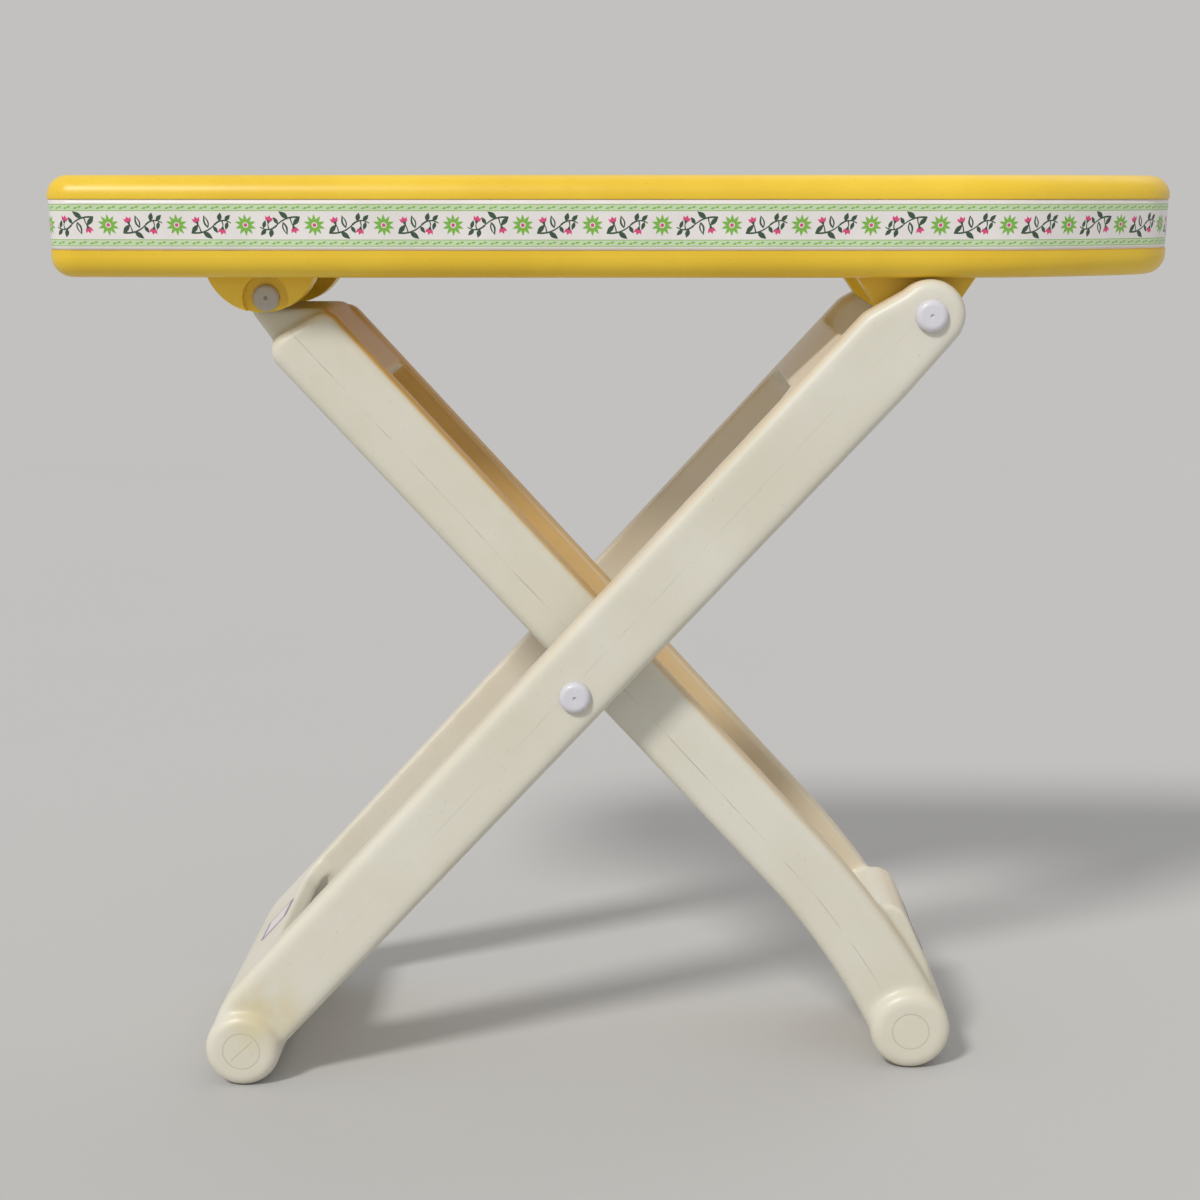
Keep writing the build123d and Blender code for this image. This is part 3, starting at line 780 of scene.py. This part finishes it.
def border_mesh(side, pitch):
    """Strip round one half of the board, as one sheet with each ink's faces marked; the border operator gives
    it its thickness.
    """
    path = BorderPath(side)
    stops = [0.0, SQUARE_END_PRINT / 2, SQUARE_END_PRINT]
    repeats = round((path.length - SQUARE_END_PRINT) / pitch)
    stops += [SQUARE_END_PRINT + pitch * i for i in range(1, repeats)] + [path.length]
    height = LABEL_HIGH.z - LABEL_LOW.z
    tiles = {flip: border_tile(pitch / MM, height / MM, flip) for flip in (False, True)}
    bm = bmesh.new()
    for repeat, (start, end) in enumerate(zip(stops, stops[1:])):
        points, faces, inks = tiles[repeat % 3 == 2]
        scale = (end - start) / pitch * MM
        corners = [bm.verts.new(path.at(start + p.x * scale, p.y * MM / height)) for p in points]
        for face, ink in zip(faces, inks):
            made = bm.faces.new([corners[i] for i in face])
            made.material_index = INK_ORDER.index(ink)
            made.smooth = True
    bmesh.ops.remove_doubles(bm, verts=bm.verts, dist=2e-5)
    bmesh.ops.dissolve_degenerate(bm, dist=1e-6, edges=bm.edges)
    bmesh.ops.recalc_face_normals(bm, faces=bm.faces)
    bm.normal_update()
    outward = sum(f.normal.y * f.calc_area() * (-1 if side == "near" else 1) for f in bm.faces)
    if outward < 0:
        bmesh.ops.reverse_faces(bm, faces=bm.faces)
    mesh = bpy.data.meshes.new("border_print_" + side)
    bm.to_mesh(mesh)
    bm.free()
    return mesh


class IRONING_OT_border(bpy.types.Operator):
    """Print the floral border on both halves of the paper strip"""
    bl_idname = "ironing.border"
    bl_label = "Print border"

    def execute(self, context):
        settings = context.scene.ironing_border
        effects = shared_effects()
        inks = [ink_material("ink_" + ink, getattr(settings, ink), effects) for ink in INK_ORDER]
        for side in ("near", "far"):
            piece = new_object("border_print_" + side, border_mesh(side, settings.pitch))
            for ink in inks:
                piece.data.materials.append(ink)
            thickness = piece.modifiers.new("paper", "SOLIDIFY")
            thickness.thickness = 0.2 * MM
            thickness.offset = -1
            apply_modifiers(piece)
            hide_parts("border_label_" + side)
            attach(piece, "board")
        return {"FINISHED"}


def tag_material(node, effects):
    """Worn paper label with no lettering: a thin violet edge round a blank field."""
    material, g, shader = new_material(node + "_paper")
    low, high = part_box(node)
    middle = (low + high) / 2
    slope = Vector((high.x - low.x, 0, (high.z - low.z) * (1 if node == "outer_leg_tag" else -1)))
    where = g.add("ShaderNodeTexCoord").outputs["Object"]
    offset = g.vector("SUBTRACT", where, tuple(middle)).outputs[0]
    along = g.vector("DOT_PRODUCT", offset, tuple(slope.normalized())).outputs["Value"]
    aside = g.vector("DOT_PRODUCT", offset, (0, 1, 0)).outputs["Value"]
    along_edge = g.ramp(g.math("ABSOLUTE", along), slope.length / 2 - 0.0034, slope.length / 2 - 0.0030)
    half_width = (high.y - low.y) / 2
    side_edge = g.ramp(g.math("ABSOLUTE", aside), half_width - 0.0030, half_width - 0.0026)
    edge = g.math("MAXIMUM", along_edge, side_edge)
    marks = g.group(effects["wear"], Amount=1.0)
    cloud = g.noise(where, 60.0, 3.0, 0.6, 27.0)
    tone = g.blend(g.math("MULTIPLY", edge, 0.8), rgba((0.76, 0.70, 0.70)), rgba((0.16, 0.11, 0.24)))
    tone = g.blend(g.math("MULTIPLY", g.ramp(cloud, 0.5, 0.75), 0.35), tone, rgba((0.60, 0.52, 0.44)))
    tone = g.blend(marks.outputs["Scuff"], tone, rgba((0.80, 0.76, 0.72)))
    g.link(tone, shader.inputs["Base Color"])
    g.link(g.math("MULTIPLY_ADD", cloud, 0.2, 0.25), shader.inputs["Roughness"])
    set_bump(g, shader, cloud, 0.0002, 0.4)
    return material


class IRONING_OT_tags(bpy.types.Operator):
    """Finish the two blank labels on the legs"""
    bl_idname = "ironing.tags"
    bl_label = "Finish leg labels"

    def execute(self, context):
        effects = shared_effects()
        for node in ("outer_leg_tag", "inner_leg_tag"):
            give_material(node, tag_material(node, effects))
        return {"FINISHED"}


# ---------------------------------------------------------------- stage

def floor_disc(colour):
    """Wide flat floor, the same from every side."""
    bm = bmesh.new()
    steps, radius = 96, 14.0
    bm.faces.new([bm.verts.new((radius * cos(2 * pi * i / steps), radius * sin(2 * pi * i / steps), 0))
                  for i in range(steps)])
    mesh = bpy.data.meshes.new("studio_floor")
    bm.to_mesh(mesh)
    bm.free()
    piece = new_object("studio_floor", mesh)
    piece.data.materials.append(studio_material(colour))


def sun(name, towards, strength, angle, tint=(1, 1, 1)):
    """Sun lamp that shines from the direction towards."""
    light = bpy.data.lights.new(name, "SUN")
    light.energy = strength
    light.angle = radians(angle)
    light.color = tint
    piece = new_object(name, light)
    piece.rotation_euler = Vector(towards).to_track_quat("Z", "Y").to_euler()


def studio_air(scene, backdrop):
    """Even sky light, and one plain tone where the camera looks past the floor."""
    world = bpy.data.worlds.new("studio_air")
    scene.world = world
    world.use_nodes = True
    world.node_tree.nodes.clear()
    g = Graph(world.node_tree)
    sky, plain = g.add("ShaderNodeBackground"), g.add("ShaderNodeBackground")
    sky.inputs["Color"].default_value = (0.97, 0.98, 1.0, 1)
    sky.inputs["Strength"].default_value = 0.55
    plain.inputs["Color"].default_value = rgba(backdrop)
    mix = g.add("ShaderNodeMixShader")
    g.link(g.add("ShaderNodeLightPath").outputs["Is Camera Ray"], mix.inputs[0])
    g.link(sky.outputs[0], mix.inputs[1])
    g.link(plain.outputs[0], mix.inputs[2])
    g.link(mix.outputs[0], g.add("ShaderNodeOutputWorld").inputs["Surface"])


class IRONING_OT_stage(bpy.types.Operator):
    """Build the floor, the lights and the camera"""
    bl_idname = "ironing.stage"
    bl_label = "Build stage"

    def execute(self, context):
        stage = context.scene.ironing_stage
        floor_disc(stage.floor)
        sun("key_light", (-0.55, -0.9, 0.95), 2.0, 10, (1.0, 0.98, 0.95))
        sun("fill_light", (0.5, 0.8, 1.2), 0.35, 50)
        studio_air(context.scene, stage.backdrop)
        lens = bpy.data.cameras.new("camera")
        lens.lens = stage.lens
        lens.sensor_width = 36
        lens.clip_end = 30
        camera = new_object("camera", lens)
        camera.location = (stage.sideways, -stage.distance, stage.height)
        camera.rotation_euler = (pi / 2 - stage.tilt, 0, stage.turn)
        context.scene.camera = camera
        context.scene.view_settings.view_transform = "Standard"
        return {"FINISHED"}


class IRONING_PT_panel(bpy.types.Panel):
    """Sizes, colours and build steps of the toy ironing board"""
    bl_idname = "IRONING_PT_panel"
    bl_label = "Ironing Board"
    bl_space_type = "VIEW_3D"
    bl_region_type = "UI"
    bl_category = "Ironing Board"

    def draw(self, context):
        for group in SETTINGS:
            box = self.layout.box()
            for name in SETTINGS[group].__annotations__:
                box.prop(getattr(context.scene, group), name)
        for step in STEPS:
            self.layout.operator(step.bl_idname)


SETTINGS = {"ironing_board": BoardSettings, "ironing_border": BorderSettings, "ironing_stage": StageSettings}
STEPS = (IRONING_OT_board, IRONING_OT_border, IRONING_OT_legs, IRONING_OT_pins, IRONING_OT_tags,
         IRONING_OT_stage)


def register():
    for group in (*SETTINGS.values(), *STEPS, IRONING_PT_panel):
        bpy.utils.register_class(group)
    for name, group in SETTINGS.items():
        setattr(bpy.types.Scene, name, PointerProperty(type=group))


def unregister():
    for name in SETTINGS:
        delattr(bpy.types.Scene, name)
    for group in reversed((*SETTINGS.values(), *STEPS, IRONING_PT_panel)):
        bpy.utils.unregister_class(group)


def main():
    register()
    for step in STEPS:
        family, name = step.bl_idname.split(".")
        getattr(getattr(bpy.ops, family), name)()


if __name__ == "__main__":
    main()
